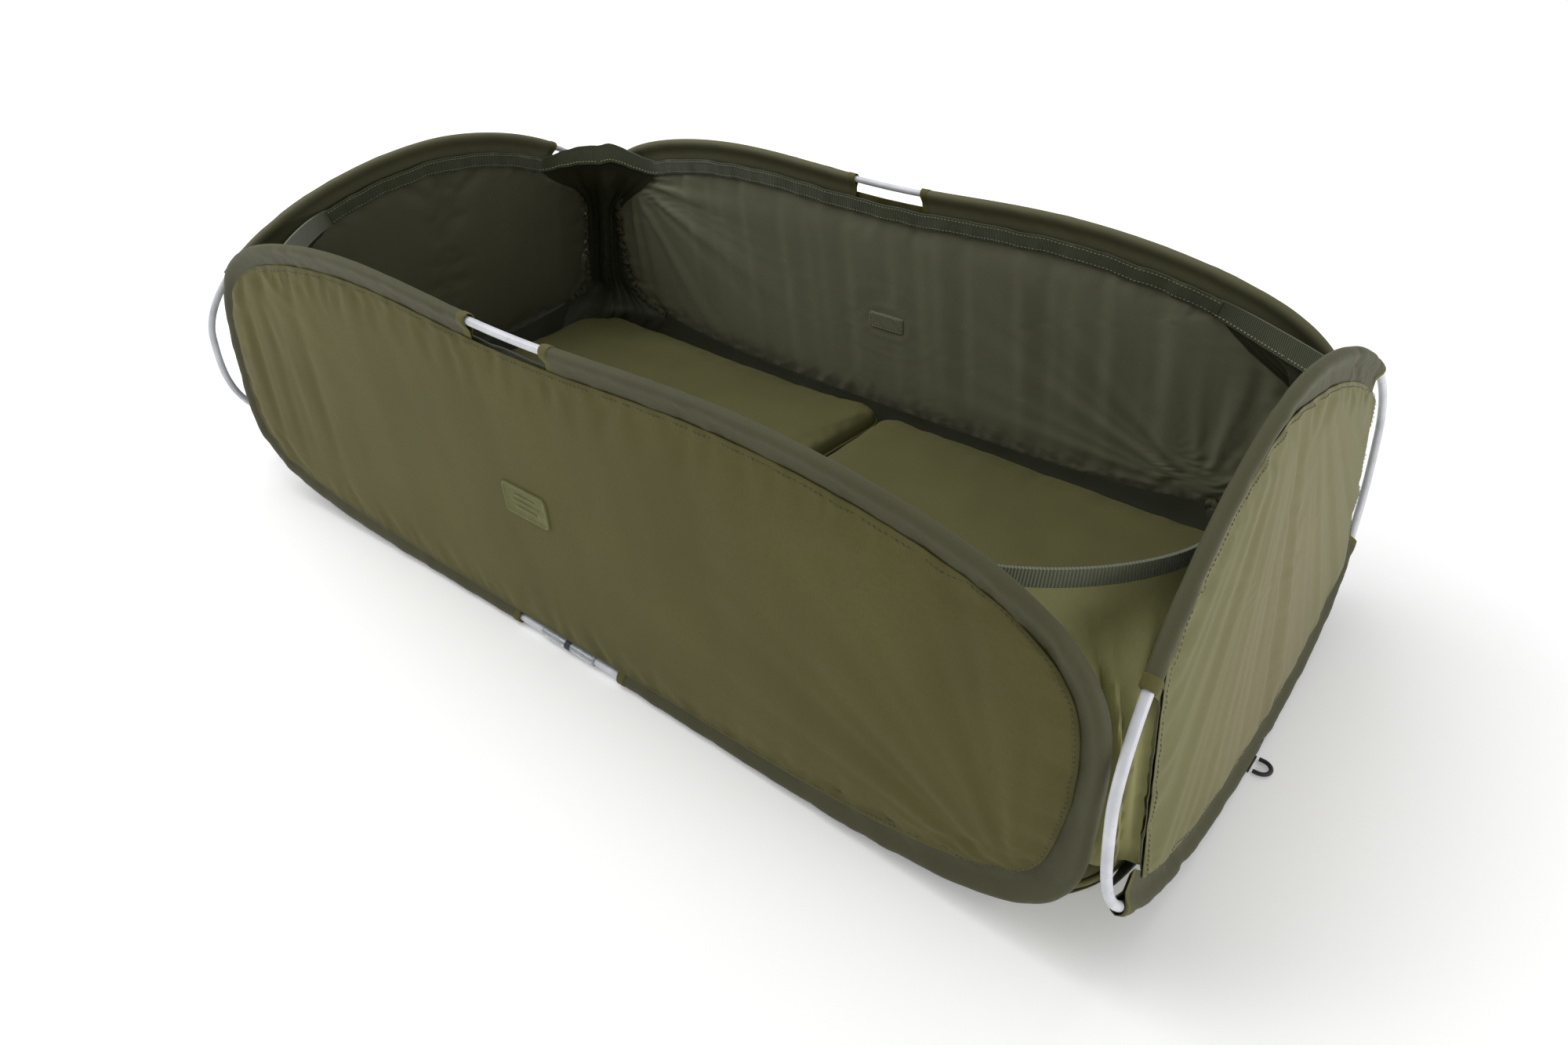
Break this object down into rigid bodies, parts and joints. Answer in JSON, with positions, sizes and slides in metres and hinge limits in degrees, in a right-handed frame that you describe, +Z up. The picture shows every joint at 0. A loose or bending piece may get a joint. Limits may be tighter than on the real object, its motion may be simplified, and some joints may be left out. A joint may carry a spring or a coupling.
{
  "type": "pop-up padded cradle",
  "caption": "Low padded fabric tub with sprung hoop walls that stand up by themselves, fold in over a folding mat, and peg to the ground.",
  "frame": {"origin": "middle of the footprint on the ground, under the fold of the mat", "axes": "+X along the cradle to the foot end, +Y across it to the far long wall, +Z up"},
  "size_m": [1.234, 0.675, 0.3619],
  "materials": {
    "outer_fabric": "fine weave polyester, soft sheen",
    "end_fabric": "light weave polyester, satin",
    "liner_fabric": "satin coated nylon",
    "sleeve_fabric": "satin coated nylon",
    "band_fabric": "folded binding tape",
    "mat_fabric": "fine weave polyester over foam",
    "webbing": "ribbed webbing",
    "foam": "closed cell foam",
    "hoop_tube": "milky translucent tube",
    "spring_wire": "drawn spring wire",
    "ferrule": "clear plastic joiner",
    "patch_rubber": "soft moulded rubber",
    "shock_cord": "braided shock cord"
  },
  "bodies": {
    "base": {"floor_panel": "outer_fabric", "mat_foot_cover": "mat_fabric", "mat_foot_foam": "foam", "gusset_near_head": "outer_fabric", "gusset_near_foot": "outer_fabric", "gusset_far_head": "outer_fabric", "gusset_far_foot": "outer_fabric", "strap_near_head": "webbing", "strap_near_foot": "webbing", "strap_far_head": "webbing", "strap_far_foot": "webbing"},
    "near_wall": {"near_hoop_tube": "hoop_tube", "near_hoop_wire": "spring_wire", "near_ferrule": "ferrule", "near_sleeve_head": "sleeve_fabric", "near_sleeve_foot": "sleeve_fabric", "near_sleeve_bands": "band_fabric", "near_outer_cloth": "outer_fabric", "near_foam": "foam", "near_liner": "liner_fabric", "near_rim_webbing": "webbing", "near_patch": "patch_rubber"},
    "far_wall": {"far_hoop_tube": "hoop_tube", "far_hoop_wire": "spring_wire", "far_ferrule": "ferrule", "far_sleeve_head": "sleeve_fabric", "far_sleeve_foot": "sleeve_fabric", "far_sleeve_bands": "band_fabric", "far_outer_cloth": "outer_fabric", "far_foam": "foam", "far_liner": "liner_fabric", "far_rim_webbing": "webbing", "far_patch": "patch_rubber"},
    "head_wall": {"head_hoop_tube": "hoop_tube", "head_hoop_wire": "spring_wire", "head_ferrule": "ferrule", "head_sleeve_top": "sleeve_fabric", "head_sleeve_low": "sleeve_fabric", "head_sleeve_bands": "band_fabric", "head_outer_cloth": "end_fabric", "head_foam": "foam", "head_liner": "liner_fabric", "head_rim_webbing": "webbing"},
    "foot_wall": {"foot_hoop_tube": "hoop_tube", "foot_hoop_wire": "spring_wire", "foot_ferrule": "ferrule", "foot_sleeve_top": "sleeve_fabric", "foot_sleeve_low": "sleeve_fabric", "foot_sleeve_bands": "band_fabric", "foot_outer_cloth": "end_fabric", "foot_foam": "foam", "foot_liner": "liner_fabric", "foot_rim_webbing": "webbing"},
    "mat_head": {"mat_head_cover": "mat_fabric", "mat_head_foam": "foam"},
    "peg_loop_head": {"peg_loop_head": "shock_cord"},
    "peg_loop_foot": {"peg_loop_foot": "shock_cord"}
  },
  "joints": [
    {"name": "near_wall_fold", "type": "hinge", "parent": "base", "child": "near_wall", "pos_m": [0, -0.259, 0.064], "axis": [1, 0, 0], "range_deg": [-90, 0], "stiffness_Nm_per_rad": 1.2, "springref_deg": 22.92, "deforming": ["gusset_near_head", "gusset_near_foot", "strap_near_head", "strap_near_foot"]},
    {"name": "far_wall_fold", "type": "hinge", "parent": "base", "child": "far_wall", "pos_m": [0, 0.262, 0.06], "axis": [-1, 0, 0], "range_deg": [-84, 0], "stiffness_Nm_per_rad": 1.2, "springref_deg": 22.92, "deforming": ["gusset_far_head", "gusset_far_foot", "strap_far_head", "strap_far_foot"]},
    {"name": "head_wall_fold", "type": "hinge", "parent": "base", "child": "head_wall", "pos_m": [-0.55, 0, 0.039], "axis": [0, -1, 0], "range_deg": [-85, 0], "stiffness_Nm_per_rad": 0.9, "springref_deg": 22.92, "deforming": ["head_hoop_tube", "head_hoop_wire", "head_ferrule", "head_sleeve_top", "head_sleeve_low", "head_sleeve_bands"]},
    {"name": "foot_wall_fold", "type": "hinge", "parent": "base", "child": "foot_wall", "pos_m": [0.55, 0, 0.037], "axis": [0, 1, 0], "range_deg": [-85, 0], "stiffness_Nm_per_rad": 0.9, "springref_deg": 22.92, "deforming": ["foot_hoop_tube", "foot_hoop_wire", "foot_ferrule", "foot_sleeve_top", "foot_sleeve_low", "foot_sleeve_bands"]},
    {"name": "mat_fold", "type": "hinge", "parent": "base", "child": "mat_head", "pos_m": [0, 0, 0.046], "axis": [0, 1, 0], "range_deg": [0, 178], "deforming": ["mat_head_cover", "mat_head_foam"]},
    {"name": "peg_loop_head_swing", "type": "hinge", "parent": "base", "child": "peg_loop_head", "pos_m": [-0.602, -0.016, 0.0021], "axis": [0, 1, 0], "range_deg": [0, 80]},
    {"name": "peg_loop_foot_swing", "type": "hinge", "parent": "base", "child": "peg_loop_foot", "pos_m": [0.602, -0.016, 0.0021], "axis": [0, -1, 0], "range_deg": [0, 80]}
  ]
}
